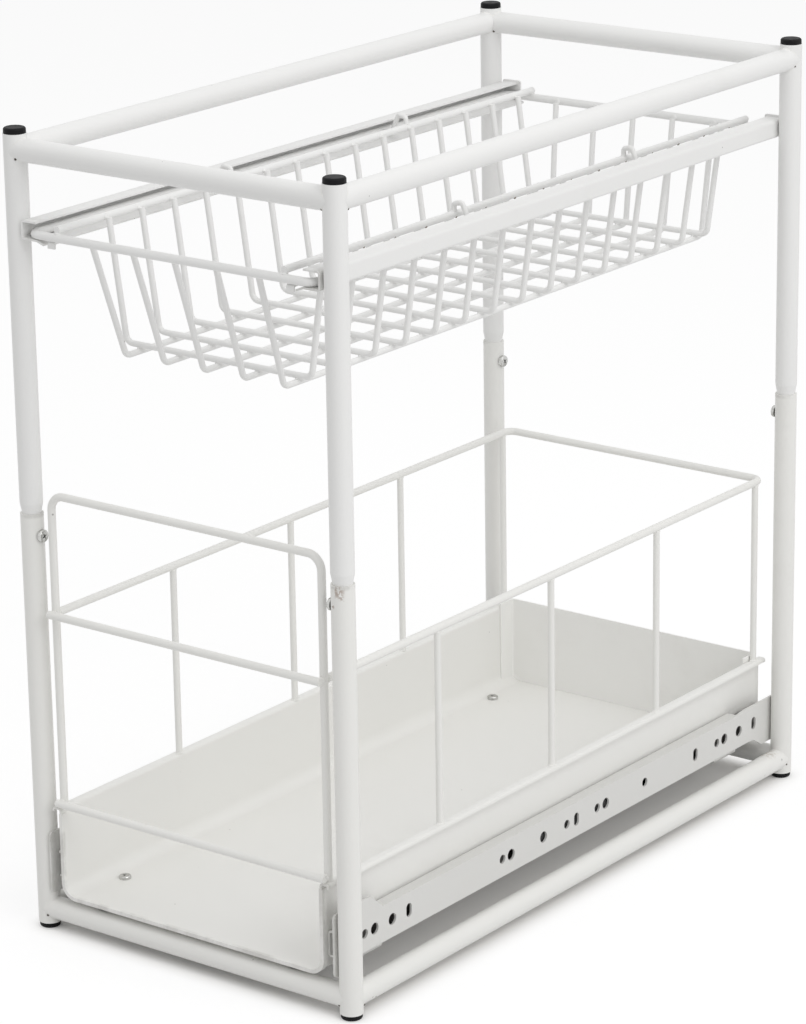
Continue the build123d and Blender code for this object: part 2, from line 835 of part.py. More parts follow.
with BuildPart() as tray_screws:
    with BuildSketch(Plane.XY.offset(tray_floor_top)):
        with Locations(*screw_places):
            Circle(tray_screw_head_diameter / 2)
    extrude(amount=tray_screw_head_height)
    with BuildSketch(Plane.XY.offset(tray_floor_top)):
        with Locations(*screw_places):
            Circle(tray_screw_diameter / 2)
    extrude(amount=-tray_screw_length)
    fillet(tray_screws.edges().group_by(Axis.Z)[-1], tray_screw_head_round)
save(tray_screws.part, "tray_screws")

# Bumpers under the front of the tray, just clear of the front base rail
bumper_bottom = base_rail_height + tube_radius + bumper_rail_gap
bumper_x = tray_half_width - bumper_inset
bumper_y = tray_front + tray_hem_width + bumper_hem_gap + bumper_diameter / 2

with BuildPart() as tray_bumpers:
    with BuildSketch(Plane.XY.offset(bumper_bottom)):
        with Locations((-bumper_x, bumper_y), (bumper_x, bumper_y)):
            Circle(bumper_diameter / 2)
    extrude(amount=tray_floor_height - bumper_bottom)
    fillet(tray_bumpers.edges().group_by(Axis.Z)[0], bumper_round)
save(tray_bumpers.part, "tray_bumpers")

# Guard: front hoop with two bars across it, a wire round the other three sides, uprights
guard_radius = guard_wire / 2
bar_y = frame_front + guard_inset + guard_radius
hoop_y = bar_y + guard_wire + contact_gap
guard_foot = tray_top_height + contact_gap
guard_half_width = tray_half_width + guard_wire_outset
bar_half_length = guard_half_width + guard_bar_overhang
guard_rear_y = frame_back - guard_rear_inset

with BuildPart() as guard_hoop:
    with BuildLine() as hoop_route:
        FilletPolyline(
            (-guard_half_width, hoop_y, guard_foot),
            (-guard_half_width, hoop_y, guard_top_height),
            (guard_half_width, hoop_y, guard_top_height),
            (guard_half_width, hoop_y, guard_foot),
            radius=guard_corner,
        )
    with BuildSketch(end_plane(hoop_route.line)):
        Circle(guard_radius)
    sweep(path=hoop_route.line)
save(guard_hoop.part, "guard_hoop")

bar_levels = {"lower": guard_foot + guard_radius, "middle": guard_middle_height}

for name, height in bar_levels.items():
    with BuildPart() as guard_bar:
        with BuildSketch(Plane(origin=(-bar_half_length, bar_y, height), z_dir=(1, 0, 0))):
            Circle(guard_radius)
        extrude(amount=2 * bar_half_length)
    save(guard_bar.part, f"guard_{name}_bar")

side_wire_front = hoop_y + guard_radius + contact_gap

with BuildPart() as guard_side_wire:
    with BuildLine() as side_route:
        FilletPolyline(
            (-guard_half_width, side_wire_front, guard_middle_height),
            (-guard_half_width, guard_rear_y, guard_middle_height),
            (guard_half_width, guard_rear_y, guard_middle_height),
            (guard_half_width, side_wire_front, guard_middle_height),
            radius=guard_rear_corner,
        )
    with BuildSketch(end_plane(side_route.line)):
        Circle(guard_radius)
    sweep(path=side_route.line)
save(guard_side_wire.part, "guard_side_wire")

upright_radius = upright_wire / 2
upright_top = guard_middle_height - guard_radius - contact_gap
upright_first = tray_front + upright_first_inset
upright_pitch = (tray_back - upright_last_inset - upright_first) / (upright_count - 1)

for name, side in sides.items():
    with BuildPart() as guard_uprights:
        with BuildSketch(Plane.XY.offset(guard_foot)):
            for index in range(upright_count):
                with Locations((side * guard_half_width, upright_first + index * upright_pitch)):
                    Circle(upright_radius)
        extrude(amount=upright_top - guard_foot)
    save(guard_uprights.part, f"guard_uprights_{name}")
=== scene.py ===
"""Looks of the under sink organizer: painted tubes, a wire basket, a sheet tray and its slides.

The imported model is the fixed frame. Every CAD node that shows gets a procedural finish, and
the pieces that a solid model leaves plain are modelled here: the weld beads and burnt specks
round the rails, the weld nuggets and burnt spots at the wire crossings, the screws with their
cross recesses and the slides' plates with their low rear foot.
Lengths are metres, +Z is up and the basket and the tray pull out towards -Y.
"""

import logging
import math
from collections.abc import Iterable, Iterator
from dataclasses import dataclass, field
from enum import Enum

import bpy
from mathutils import Euler, Matrix, Vector


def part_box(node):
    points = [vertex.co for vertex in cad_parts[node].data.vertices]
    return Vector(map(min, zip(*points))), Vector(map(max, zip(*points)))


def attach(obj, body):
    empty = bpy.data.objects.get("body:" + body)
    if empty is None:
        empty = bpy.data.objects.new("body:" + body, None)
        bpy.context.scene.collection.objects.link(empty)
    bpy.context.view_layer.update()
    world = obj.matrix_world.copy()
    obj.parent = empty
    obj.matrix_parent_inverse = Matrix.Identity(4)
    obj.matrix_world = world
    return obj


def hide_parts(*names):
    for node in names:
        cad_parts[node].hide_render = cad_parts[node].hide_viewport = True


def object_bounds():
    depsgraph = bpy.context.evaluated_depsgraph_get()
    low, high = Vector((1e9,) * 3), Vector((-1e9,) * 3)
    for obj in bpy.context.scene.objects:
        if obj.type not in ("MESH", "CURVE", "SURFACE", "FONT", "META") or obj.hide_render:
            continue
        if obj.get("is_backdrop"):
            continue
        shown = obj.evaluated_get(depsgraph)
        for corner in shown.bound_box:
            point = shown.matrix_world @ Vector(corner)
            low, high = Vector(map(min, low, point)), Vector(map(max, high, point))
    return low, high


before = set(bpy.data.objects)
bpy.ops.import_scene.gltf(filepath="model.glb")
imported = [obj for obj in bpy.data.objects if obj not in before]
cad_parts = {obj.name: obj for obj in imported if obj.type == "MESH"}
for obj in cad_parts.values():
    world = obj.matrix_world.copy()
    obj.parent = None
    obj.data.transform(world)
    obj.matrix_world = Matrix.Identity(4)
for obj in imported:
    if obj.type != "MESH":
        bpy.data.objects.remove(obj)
CAD_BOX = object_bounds()

MM = 0.001
Colour = tuple[float, float, float, float]
Point = tuple[float, float, float]
BRIGHT_WHITE: Colour = (0.872, 0.870, 0.860, 1.0)
WHITE_LIGHT: Colour = (1.0, 1.0, 1.0, 1.0)
log = logging.getLogger("organizer")


class Body(Enum):
    """The rigid bodies of the organizer that new pieces ride on."""

    FRAME = "frame"
    BASKET = "basket"
    TRAY = "tray"


class Slot(Enum):
    """The record's material slots, named for new pieces but not read."""

    TUBES = "frame_paint"
    WIRES = "wire_paint"
    SHEETS = "sheet_paint"
    SCREWS = "screw_steel"


class Axis(Enum):
    """The three axes of the organizer, by their place in a vector."""

    X = 0
    Y = 1
    Z = 2


class Signal:
    """One output socket of a shader node, on which masks are worked out as plain sums."""

    def __init__(self, bench: "ShaderBench", socket: bpy.types.NodeSocket | None) -> None:
        """Keeps the socket and the bench that makes further nodes.

        Args:
            bench: The bench of the material that the socket belongs to.
            socket: The output socket that carries the signal, or None behind a last node.
        """
        self.bench = bench
        self.socket = socket

    def _math(self, operation: str, *values: "Signal | float") -> "Signal":
        """Adds one Math node.

        Args:
            operation: The node's operation.
            values: Its inputs in order, as signals or numbers.

        Returns:
            The node's result.
        """
        return self.bench.node("ShaderNodeMath", {"operation": operation}, dict(enumerate(values)))

    def __add__(self, other: "Signal | float") -> "Signal":
        """This signal plus another."""
        return self._math("ADD", self, other)

    __radd__ = __add__

    def __mul__(self, other: "Signal | float") -> "Signal":
        """This signal times another."""
        return self._math("MULTIPLY", self, other)

    __rmul__ = __mul__

    def __sub__(self, other: "Signal | float") -> "Signal":
        """This signal less another."""
        return self._math("SUBTRACT", self, other)

    def __rsub__(self, other: "Signal | float") -> "Signal":
        """Another value less this signal."""
        return self._math("SUBTRACT", other, self)

    def __abs__(self) -> "Signal":
        """The signal without its sign."""
        return self._math("ABSOLUTE", self)

    def __or__(self, other: "Signal | float") -> "Signal":
        """The larger of two masks."""
        return self._math("MAXIMUM", self, other)

    def rise(self, low: float, high: float) -> "Signal":
        """A smooth mask that is 0 below low and 1 above high.

        Args:
            low: Value where the mask starts to rise.
            high: Value where it is full.

        Returns:
            The mask.
        """
        return self.bench.node(
            "ShaderNodeMapRange",
            {"interpolation_type": "SMOOTHSTEP"},
            {"Value": self, "From Min": low, "From Max": high, "To Min": 0.0, "To Max": 1.0},
        )

    def fall(self, low: float, high: float) -> "Signal":
        """A smooth mask that is 1 below low and 0 above high."""
        return 1.0 - self.rise(low, high)


class ShaderBench:
    """Builds one material's nodes."""

    def __init__(self, name: str) -> None:
        """Starts an empty node material.

        Args:
            name: The material's name.
        """
        self.material = bpy.data.materials.new(name)
        self.material.use_nodes = True
        self.tree = self.material.node_tree
        self.tree.nodes.clear()
        self.place = self.node("ShaderNodeTexCoord", output="Object")

    def node(
        self,
        kind: str,
        settings: dict[str, object] | None = None,
        inputs: dict[int | str, "Signal | float | tuple"] | None = None,
        output: int | str = 0,
    ) -> Signal:
        """Adds any shader node.

        Args:
            kind: The node's type.
            settings: Properties that are set before the sockets.
            inputs: Values or signals of its sockets, by name or place.
            output: The socket that is handed back.

        Returns:
            The chosen output.
        """
        made = self.tree.nodes.new(kind)
        for key, value in (settings or {}).items():
            setattr(made, key, value)
        for key, value in (inputs or {}).items():
            if isinstance(value, Signal):
                self.tree.links.new(value.socket, made.inputs[key])
            else:
                made.inputs[key].default_value = value
        return Signal(self, made.outputs[output] if made.outputs else None)

    def noise(self, scale: float, detail: float = 2.0, rough: float = 0.5) -> Signal:
        """Cloudy noise over the piece, from 0 to 1.

        Args:
            scale: Waves to the metre.
            detail: How many finer layers are added.
            rough: How strong the finer layers are.

        Returns:
            The noise.
        """
        return self.node(
            "ShaderNodeTexNoise",
            None,
            {"Vector": self.place, "Scale": scale, "Detail": detail, "Roughness": rough},
        )

    def cells(self, scale: float) -> Signal:
        """Distance to the nearest of scattered points, scale of them to the metre."""
        return self.node(
            "ShaderNodeTexVoronoi", {"feature": "F1"}, {"Vector": self.place, "Scale": scale}
        )

    def along(self, axis: Axis) -> Signal:
        """The place along one axis of the organizer, in metres."""
        return self.node("ShaderNodeSeparateXYZ", None, {0: self.place}, axis.value)

    def near(self, centre: Point) -> Signal:
        """Distance to a point of the organizer, in metres."""
        return self.node(
            "ShaderNodeVectorMath", {"operation": "DISTANCE"}, {0: self.place, 1: centre}, "Value"
        )

    def mix(self, mask: Signal, first: "Signal | Colour", second: "Signal | Colour") -> Signal:
        """Mixes two colours.

        Args:
            mask: 0 shows the first colour and 1 the second.
            first: A colour or a colour signal.
            second: A colour or a colour signal.

        Returns:
            The mixed colour.
        """
        return self.node(
            "ShaderNodeMix", {"data_type": "RGBA"}, {0: mask, 6: first, 7: second}, 2
        )

    def bump(self, height: Signal, depth: float) -> Signal:
        """A normal that follows a height.

        Args:
            height: The height, from 0 to 1.
            depth: What a height of 1 stands for, in metres.

        Returns:
            The normal.
        """
        return self.node("ShaderNodeBump", None, {"Distance": depth, "Height": height})

    def surface(self, inputs: dict[str, "Signal | float | tuple"]) -> bpy.types.Material:
        """Closes the material with a surface shader.

        Args:
            inputs: Values or signals of the shader's sockets.

        Returns:
            The finished material.
        """
        shader = self.node("ShaderNodeBsdfPrincipled", None, inputs)
        self.node("ShaderNodeOutputMaterial", None, {"Surface": shader})
        return self.material


@dataclass(frozen=True)
class Scuff:
    """A small rubbed or rusty mark in the paint."""

    centre: Point
    radius: float
    colour: Colour = (0.23, 0.12, 0.06, 1.0)
    strength: float = 0.6


@dataclass(frozen=True)
class WearBand:
    """A band across a piece where the paint is rubbed, such as a tube's mouth."""

    axis: Axis
    centre: float
    half_width: float


@dataclass(frozen=True)
class PaintedTrackShade:
    """The running track of a ball slide, darkened with painted shade that stands for the shadow
    inside the slide.
    """

    middle_z: float
    half_height: float
    front_y: float
    # the colour of the painted shade on the track
    colour: Colour = (0.21, 0.205, 0.195, 1.0)

    def mask(self, bench: ShaderBench) -> Signal:
        """1 on the track and 0 beside it and before its front end."""
        beside = abs(bench.along(Axis.Z) - self.middle_z)
        on_track = beside.fall(self.half_height, self.half_height + 0.6 * MM)
        return on_track * bench.along(Axis.Y).rise(self.front_y, self.front_y + 5.0 * MM)


@dataclass(frozen=True)
class PowderCoat:
    """Satin powder coat on steel: faint orange peel, mottling, dust specks and rubbed bands."""

    name: str
    colour: Colour = (0.87, 0.865, 0.838, 1.0)
    rubbed: Colour = (0.56, 0.55, 0.52, 1.0)
    grime: Colour = (0.66, 0.64, 0.60, 1.0)
    gloss: float = 0.36
    peel_scale: float = 900.0
    peel_depth: float = 0.00006
    cloud_scale: float = 7.0
    streak_scale: float = 46.0
    speck_scale: float = 120.0
    speck_colour: Colour = (0.16, 0.15, 0.14, 1.0)
    blot_scale: float = 520.0
    bands: tuple[WearBand, ...] = ()
    scuffs: tuple[Scuff, ...] = ()
    track: PaintedTrackShade | None = None

    def material(self) -> bpy.types.Material:
        """Makes the paint.

        Returns:
            A new material.
        """
        bench = ShaderBench(self.name)
        cloud = bench.noise(self.cloud_scale, 3.0)
        streak = bench.noise(self.streak_scale, 4.0, 0.6)
        peel = bench.noise(self.peel_scale, 1.0)
        specks = bench.cells(self.speck_scale).fall(0.035, 0.06) * streak.rise(0.56, 0.62)
        soiled = cloud.rise(0.5, 0.75) * streak.rise(0.45, 0.7)
        colour = bench.mix(soiled * 0.16, self.colour, self.grime)
        colour = bench.mix(specks * 0.55, colour, self.speck_colour)
        worn = specks * 0.4
        for band in self.bands:
            beside = abs(bench.along(band.axis) - band.centre)
            mask = beside.fall(0.3 * band.half_width, band.half_width) * streak.rise(0.42, 0.6)
            colour = bench.mix(mask * 0.5, colour, self.rubbed)
            worn = worn | mask
        for scuff in self.scuffs:
            blot = bench.noise(self.blot_scale, 3.0).rise(0.44, 0.6)
            mask = bench.near(scuff.centre).fall(0.25 * scuff.radius, scuff.radius) * blot
            colour = bench.mix(mask * scuff.strength, colour, scuff.colour)
            worn = worn | mask
        # painted shade along a slide's running track, standing for the shadow inside the slide
        if self.track is not None:
            colour = bench.mix(self.track.mask(bench), colour, self.track.colour)
        rough = self.gloss + 0.08 * cloud + 0.25 * worn
        height = peel * 0.7 + 0.3 * streak - 0.4 * worn
        return bench.surface(
            {
                "Base Color": colour,
                "Roughness": rough,
                "Specular IOR Level": 0.42,
                "Normal": bench.bump(height, self.peel_depth),
            }
        )


@dataclass(frozen=True)
class MouldedPlastic:
    """Matt black moulding with a fine spark-eroded grain and a little dust."""

    name: str
    colour: Colour = (0.008, 0.008, 0.009, 1.0)
    dust: Colour = (0.035, 0.034, 0.033, 1.0)
    gloss: float = 0.5
    specular: float = 0.12
    grain_scale: float = 2600.0
    grain_depth: float = 0.00004
    dust_scale: float = 140.0

    def material(self) -> bpy.types.Material:
        """Makes the plastic.

        Returns:
            A new material.
        """
        bench = ShaderBench(self.name)
        grain = bench.noise(self.grain_scale, 1.0)
        cloud = bench.noise(self.dust_scale, 4.0, 0.65)
        dusty = cloud.rise(0.5, 0.7)
        return bench.surface(
            {
                "Base Color": bench.mix(dusty * 0.5, self.colour, self.dust),
                "Roughness": self.gloss + 0.2 * dusty,
                "Specular IOR Level": self.specular,
                "Normal": bench.bump(grain, self.grain_depth),
            }
        )


@dataclass(frozen=True)
class BurntSpot:
    """A pinhead of scorched weld that the paint never covered."""

    name: str
    colour: Colour = (0.05, 0.042, 0.035, 1.0)
    ash: Colour = (0.24, 0.21, 0.18, 1.0)
    crust_scale: float = 1900.0
    crust_depth: float = 0.00008

    def material(self) -> bpy.types.Material:
        """Makes the scorched steel.

        Returns:
            A new material.
        """
        bench = ShaderBench(self.name)
        crust = bench.noise(self.crust_scale, 2.0)
        return bench.surface(
            {
                "Base Color": bench.mix(crust.rise(0.45, 0.65), self.colour, self.ash),
                "Roughness": 0.55 + 0.2 * crust,
                "Normal": bench.bump(crust, self.crust_depth),
            }
        )


@dataclass(frozen=True)
class PlatedSteel:
    """Zinc or chrome plate: turned or rolled marks, and dull patches of dark oxide."""

    name: str
    colour: Colour = (0.60, 0.60, 0.585, 1.0)
    oxide: Colour = (0.20, 0.19, 0.17, 1.0)
    gloss: float = 0.27
    mark_scale: float = 1500.0
    mark_depth: float = 0.00003
    patch_scale: float = 260.0

    def material(self) -> bpy.types.Material:
        """Makes the plate.

        Returns:
            A new material.
        """
        bench = ShaderBench(self.name)
        marks = bench.noise(self.mark_scale, 2.0)
        patches = bench.noise(self.patch_scale, 3.0, 0.6).rise(0.45, 0.7)
        return bench.surface(
            {
                "Base Color": bench.mix(patches * 0.5, self.colour, self.oxide),
                "Metallic": 1.0,
                "Roughness": self.gloss + 0.2 * patches,
                "Normal": bench.bump(marks, self.mark_depth),
            }
        )


class Workbench:
    """Modelling moves that several sub-assemblies share."""

    @staticmethod
    def clear() -> None:
        """Leaves nothing selected, in object mode."""
        if bpy.context.object is not None and bpy.context.object.mode != "OBJECT":
            bpy.ops.object.mode_set(mode="OBJECT")
        bpy.ops.object.select_all(action="DESELECT")

    @staticmethod
    def take(piece: bpy.types.Object) -> bpy.types.Object:
        """Selects one piece alone and makes it the active one."""
        Workbench.clear()
        piece.select_set(True)
        bpy.context.view_layer.objects.active = piece
        return piece

    @staticmethod
    def settle(piece: bpy.types.Object) -> bpy.types.Object:
        """Moves a piece's place into its mesh."""
        Workbench.take(piece)
        bpy.ops.object.transform_apply(location=True, rotation=True, scale=True)
        return piece

    @staticmethod
    def spread(
        pattern: bpy.types.Object, places: Iterable[Matrix], name: str
    ) -> bpy.types.Object:
        """Copies a modelled pattern to each place and joins the copies.

        Args:
            pattern: The modelled piece, which is used up.
            places: Where each copy goes.
            name: The joined piece's name.

        Returns:
            The joined piece.
        """
        copies = []
        for place in places:
            mesh = pattern.data.copy()
            mesh.transform(place)
            copy = bpy.data.objects.new(name, mesh)
            bpy.context.scene.collection.objects.link(copy)
            copies.append(copy)
        bpy.data.objects.remove(pattern)
        Workbench.clear()
        for copy in copies:
            copy.select_set(True)
        bpy.context.view_layer.objects.active = copies[0]
        bpy.ops.object.join()
        joined = bpy.context.object
        joined.name = name
        return joined

    @staticmethod
    def finish(
        piece: bpy.types.Object,
        body: Body,
        slot: Slot,
        material: bpy.types.Material,
        stands_for: tuple[str, ...] = (),
        crease: float = 35.0,
    ) -> None:
        """Gives a new piece its material, body and the nodes it stands for.

        Args:
            piece: The finished mesh.
            body: The body that it rides on.
            slot: The record's material slot; not used.
            material: Its finish.
            stands_for: CAD nodes that it replaces.
            crease: Degrees between faces above which their edge stays sharp.
        """
        Workbench.take(piece)
        bpy.ops.object.shade_smooth_by_angle(angle=math.radians(crease))
        piece.data.materials.clear()
        piece.data.materials.append(material)
        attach(piece, body.value)
        if stands_for:
            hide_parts(*stands_for)
        log.info("%s: %d faces on %s", piece.name, len(piece.data.polygons), body.value)

    @staticmethod
    def nugget() -> bpy.types.Object:
        """A weld nugget: a ball of radius 1 with three slight lobes about its axis."""
        Workbench.clear()
        bpy.ops.mesh.primitive_uv_sphere_add(segments=12, ring_count=8, radius=1.0)
        ball = bpy.context.object
        for vertex in ball.data.vertices:
            swell = 1.0 + 0.06 * math.sin(3.0 * math.atan2(vertex.co.y, vertex.co.x))
            vertex.co.x *= swell
            vertex.co.y *= swell
        return ball


def dress(finish: PowderCoat | MouldedPlastic | PlatedSteel, *nodes: str) -> None:
    """Paints CAD nodes with one finish.

    Args:
        finish: The finish.
        nodes: Names of the CAD nodes.
    """
    material = finish.material()
    for name in nodes:
        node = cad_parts[name]
        node.data.materials.clear()
        node.data.materials.append(material)
    log.info("%s on %s", finish.name, ", ".join(nodes))


def blob(centre: Point, half_sizes: Point) -> Matrix:
    """Place and stretch of a weld nugget.

    Args:
        centre: Its middle.
        half_sizes: Its half lengths along the three axes.

    Returns:
        The matrix that takes a ball of radius 1 there.
    """
    return Matrix.Translation(centre) @ Matrix.Diagonal((*half_sizes, 1.0))


@dataclass
class CrossScrew:
    """A pan-head screw with a cross recess, standing on its seat with its head up."""

    head_radius: float
    head_height: float
    shank_radius: float
    shank_length: float
    head_round: float
    recess_share: float = 0.62
    blade_share: float = 0.15
    depth_share: float = 0.62
    foot_share: float = 0.45
    facets: int = 36
    round_steps: int = 4

    def model(self) -> bpy.types.Object:
        """Models the screw from a cylinder, with the recess cut out of its head.

        Returns:
            The screw at the origin.
        """
        Workbench.clear()
        bpy.ops.mesh.primitive_cylinder_add(
            vertices=self.facets,
            radius=self.head_radius,
            depth=self.head_height,
            location=(0.0, 0.0, self.head_height / 2),
        )
        screw = Workbench.settle(bpy.context.object)
        bpy.ops.object.mode_set(mode="EDIT")
        bpy.ops.mesh.select_mode(type="FACE")
        bpy.ops.mesh.select_all(action="DESELECT")
        bpy.ops.object.mode_set(mode="OBJECT")
        for face in screw.data.polygons:
            face.select = face.normal.z < -0.5
        bpy.ops.object.mode_set(mode="EDIT")
        bpy.ops.mesh.inset(thickness=self.head_radius - self.shank_radius, depth=0.0)
        bpy.ops.mesh.extrude_region_move(
            TRANSFORM_OT_translate={"value": (0.0, 0.0, -self.shank_length)}
        )
        bpy.ops.mesh.select_mode(type="EDGE")
        bpy.ops.mesh.select_all(action="DESELECT")
        bpy.ops.object.mode_set(mode="OBJECT")
        just_under_top = 0.99 * self.head_height
        for edge in screw.data.edges:
            ends = [screw.data.vertices[index].co for index in edge.vertices]
            edge.select = all(end.z > just_under_top for end in ends)
        bpy.ops.object.mode_set(mode="EDIT")
        bpy.ops.mesh.bevel(offset=self.head_round, segments=self.round_steps, affect="EDGES")
        bpy.ops.object.mode_set(mode="OBJECT")
        for turn in (0.0, math.pi / 2):
            self._cut_blade(screw, turn)
        return screw

    def _cut_blade(self, screw: bpy.types.Object, turn: float) -> None:
        """Cuts one slot of the cross, narrower at its foot.

        Args:
            screw: The screw.
            turn: The slot's angle about the screw's axis.
        """
        depth = self.depth_share * self.head_height
        Workbench.clear()
        bpy.ops.mesh.primitive_cube_add(size=1.0, location=(0.0, 0.0, 0.0))
        blade = bpy.context.object
        half_long = self.recess_share * self.head_radius
        half_wide = self.blade_share * self.head_radius
        for vertex in blade.data.vertices:
            low = vertex.co.z < 0.0
            taper = self.foot_share if low else 1.0
            vertex.co.x = math.copysign(half_long * taper, vertex.co.x)
            vertex.co.y = math.copysign(half_wide * taper, vertex.co.y)
            vertex.co.z = self.head_height - depth if low else self.head_height + depth
        blade.rotation_euler = (0.0, 0.0, turn)
        Workbench.settle(blade)
        Workbench.take(screw)
        cut = screw.modifiers.new("recess", "BOOLEAN")
        cut.operation = "DIFFERENCE"
        cut.object = blade
        bpy.ops.object.modifier_apply(modifier=cut.name)
        bpy.data.objects.remove(blade)


@dataclass
class TubeFrame:
    """Posts, rails, caps and the screws of the telescoped joints."""

    post_x: float = 100.0 * MM
    post_y: float = 200.0 * MM
    tube_radius: float = 6.0 * MM
    base_rail_z: float = 11.1 * MM
    top_rail_z: float = 415.1 * MM
    joint_z: float = 227.1 * MM
    screw_z: float = 215.6 * MM
    bead_radius: float = 0.55 * MM
    bead_points: int = 48
    bead_sink: float = 0.4
    bead_ripple: float = 0.12
    bead_thinning: float = 0.92
    screw: CrossScrew = field(
        default_factory=lambda: CrossScrew(3.4 * MM, 2.1 * MM, 1.5 * MM, 6.9 * MM, 0.9 * MM)
    )

    def build(self) -> None:
        """Paints the tubes and caps, and adds the weld beads, burnt specks and screws."""
        ends = [f"{depth}_{side}" for depth in ("front", "rear") for side in ("left", "right")]
        rails = ("front", "rear", "left", "right")
        mouth = WearBand(Axis.Z, self.joint_z, 2.5 * MM)
        upper = PowderCoat("upper_tube_paint", BRIGHT_WHITE)
        plain = PowderCoat("tube_paint")
        lower = PowderCoat("lower_post_paint", bands=(mouth,))
        scuffed = PowderCoat("scuffed_post_paint", bands=(mouth,), scuffs=self.scuffs())
        marked_rail = PowderCoat("marked_rail_paint", scuffs=self.rail_marks())
        dress(upper, *(f"upper_post_{end}" for end in ends))
        dress(upper, *(f"top_rail_{rail}" for rail in rails))
        dress(plain, *(f"base_rail_{rail}" for rail in rails if rail != "right"))
        dress(marked_rail, "base_rail_right")
        dress(lower, *(f"lower_post_{end}" for end in ends if end != "front_right"))
        dress(scuffed, "lower_post_front_right")
        dress(MouldedPlastic("cap_plastic_black"), "post_caps", "foot_caps")
        self.build_beads(plain.material())
        self.build_specks()
        self.build_screws()

    def scuffs(self) -> tuple[Scuff, ...]:
        """Rusty rub marks on the front right post, just under its joint."""
        front = -self.post_y - self.tube_radius
        return (
            Scuff((self.post_x + 1.5 * MM, front, self.joint_z - 2.5 * MM), 4.5 * MM),
            Scuff((self.post_x - 2.0 * MM, front, self.joint_z - 10.5 * MM), 1.6 * MM),
            Scuff((self.post_x + 3.5 * MM, front, self.joint_z - 6.0 * MM), 2.4 * MM),
        )

    def rail_marks(self) -> tuple[Scuff, ...]:
        """Chips low on the right base rail near its front, and a brown darkened patch on its top
        at its rear.
        """
        outer = self.post_x + self.tube_radius
        chip = (0.13, 0.115, 0.10, 1.0)
        brown_patch = (0.42, 0.34, 0.27, 1.0)
        chips = ((-190.0, 8.2, 1.5), (-186.5, 7.2, 1.2), (-179.0, 6.4, 1.1), (-163.0, 6.0, 1.3))
        low = tuple(
            Scuff((outer - 1.0 * MM, y * MM, z * MM), radius * MM, chip, 0.7)
            for y, z, radius in chips
        )
        # a brown darkened patch on the rail's top, under the slide's rear foot
        rear = Scuff((self.post_x - 3.0 * MM, 187.0 * MM, 16.5 * MM), 9.0 * MM, brown_patch, 0.55)
        return (*low, rear, Scuff((outer, 192.5 * MM, 13.0 * MM), 1.4 * MM, chip, 0.6))

    def bead(self) -> bpy.types.Object:
        """Models the bead round a rail that leaves a post along +X.

        Returns:
            A closed bead at the origin, thin where it runs out along the post's sides.
        """
        Workbench.clear()
        bpy.ops.mesh.primitive_circle_add(
            vertices=self.bead_points,
            radius=self.tube_radius - self.bead_sink * self.bead_radius,
            rotation=(0.0, math.pi / 2, 0.0),
        )
        ring = Workbench.settle(bpy.context.object)
        for vertex in ring.data.vertices:
            reach = self.tube_radius**2 - vertex.co.y**2
            vertex.co.x = math.sqrt(max(reach, 0.0))
        Workbench.take(ring)
        bpy.ops.object.convert(target="CURVE")
        curve = bpy.context.object
        curve.data.bevel_depth = self.bead_radius
        curve.data.bevel_resolution = 2
        for point in curve.data.splines[0].points:
            share = min(abs(point.co.y) / self.tube_radius, 1.0)
            turn = math.atan2(point.co.z, point.co.y)
            ripple = 1.0 + self.bead_ripple * math.sin(5.0 * turn)
            point.radius = ripple * (1.0 - self.bead_thinning * share**5)
        bpy.ops.object.convert(target="MESH")
        return bpy.context.object

    def bead_places(self) -> Iterator[Matrix]:
        """Places of the beads, two on each rail.

        Yields:
            The matrix of each bead.
        """
        for z in (self.base_rail_z, self.top_rail_z):
            for x in (-self.post_x, self.post_x):
                for y in (-self.post_y, self.post_y):
                    post = Matrix.Translation((x, y, z))
                    yield post @ Matrix.Rotation(math.pi if x > 0 else 0.0, 4, "Z")
                    yield post @ Matrix.Rotation(math.copysign(math.pi / 2, -y), 4, "Z")

    def build_beads(self, material: bpy.types.Material) -> None:
        """Adds the weld beads where the rails meet the posts."""
        beads = Workbench.spread(self.bead(), self.bead_places(), "rail_weld_beads")
        Workbench.finish(beads, Body.FRAME, Slot.TUBES, material)

    def speck_places(self) -> Iterator[Matrix]:
        """Places of the scorched specks beside the rails' welds, a few at each joint.

        Yields:
            The matrix of each speck.
        """
        for number, place in enumerate(self.bead_places()):
            wander = math.sin(2.3 * number)
            for turn, size in ((2.15 + 0.4 * wander, 0.55), (-2.1 + 0.4 * wander, 0.72)):
                aside = self.tube_radius * math.sin(turn)
                up = self.tube_radius * math.cos(turn)
                spot = (abs(up) + 0.25 * MM, aside, up)
                yield place @ blob(spot, (size * MM, size * MM, size * MM))

    def build_specks(self) -> None:
        """Adds the scorched specks that the paint left bare."""
        specks = Workbench.spread(Workbench.nugget(), self.speck_places(), "rail_weld_specks")
        scorched = BurntSpot("rail_burnt_speck").material()
        Workbench.finish(specks, Body.FRAME, Slot.TUBES, scorched)

    def screw_places(self) -> Iterator[Matrix]:
        """Places of the joint screws, heads on the inner side of each post.

        Yields:
            The matrix of each screw.
        """
        seat = self.post_x - self.tube_radius
        for number, (side, end) in enumerate(((-1, -1), (1, -1), (-1, 1), (1, 1))):
            turn = Vector((-side, 0.0, 0.0)).to_track_quat("Z", "Y").to_matrix().to_4x4()
            place = Matrix.Translation((side * seat, end * self.post_y, self.screw_z))
            yield place @ turn @ Matrix.Rotation(0.4 + 0.9 * number, 4, "Z")

    def build_screws(self) -> None:
        """Adds the joint screws in place of the plain ones."""
        screws = Workbench.spread(self.screw.model(), self.screw_places(), "joint_cross_screws")
        zinc = PlatedSteel("joint_screw_zinc").material()
        Workbench.finish(screws, Body.FRAME, Slot.SCREWS, zinc, ("joint_screws",))


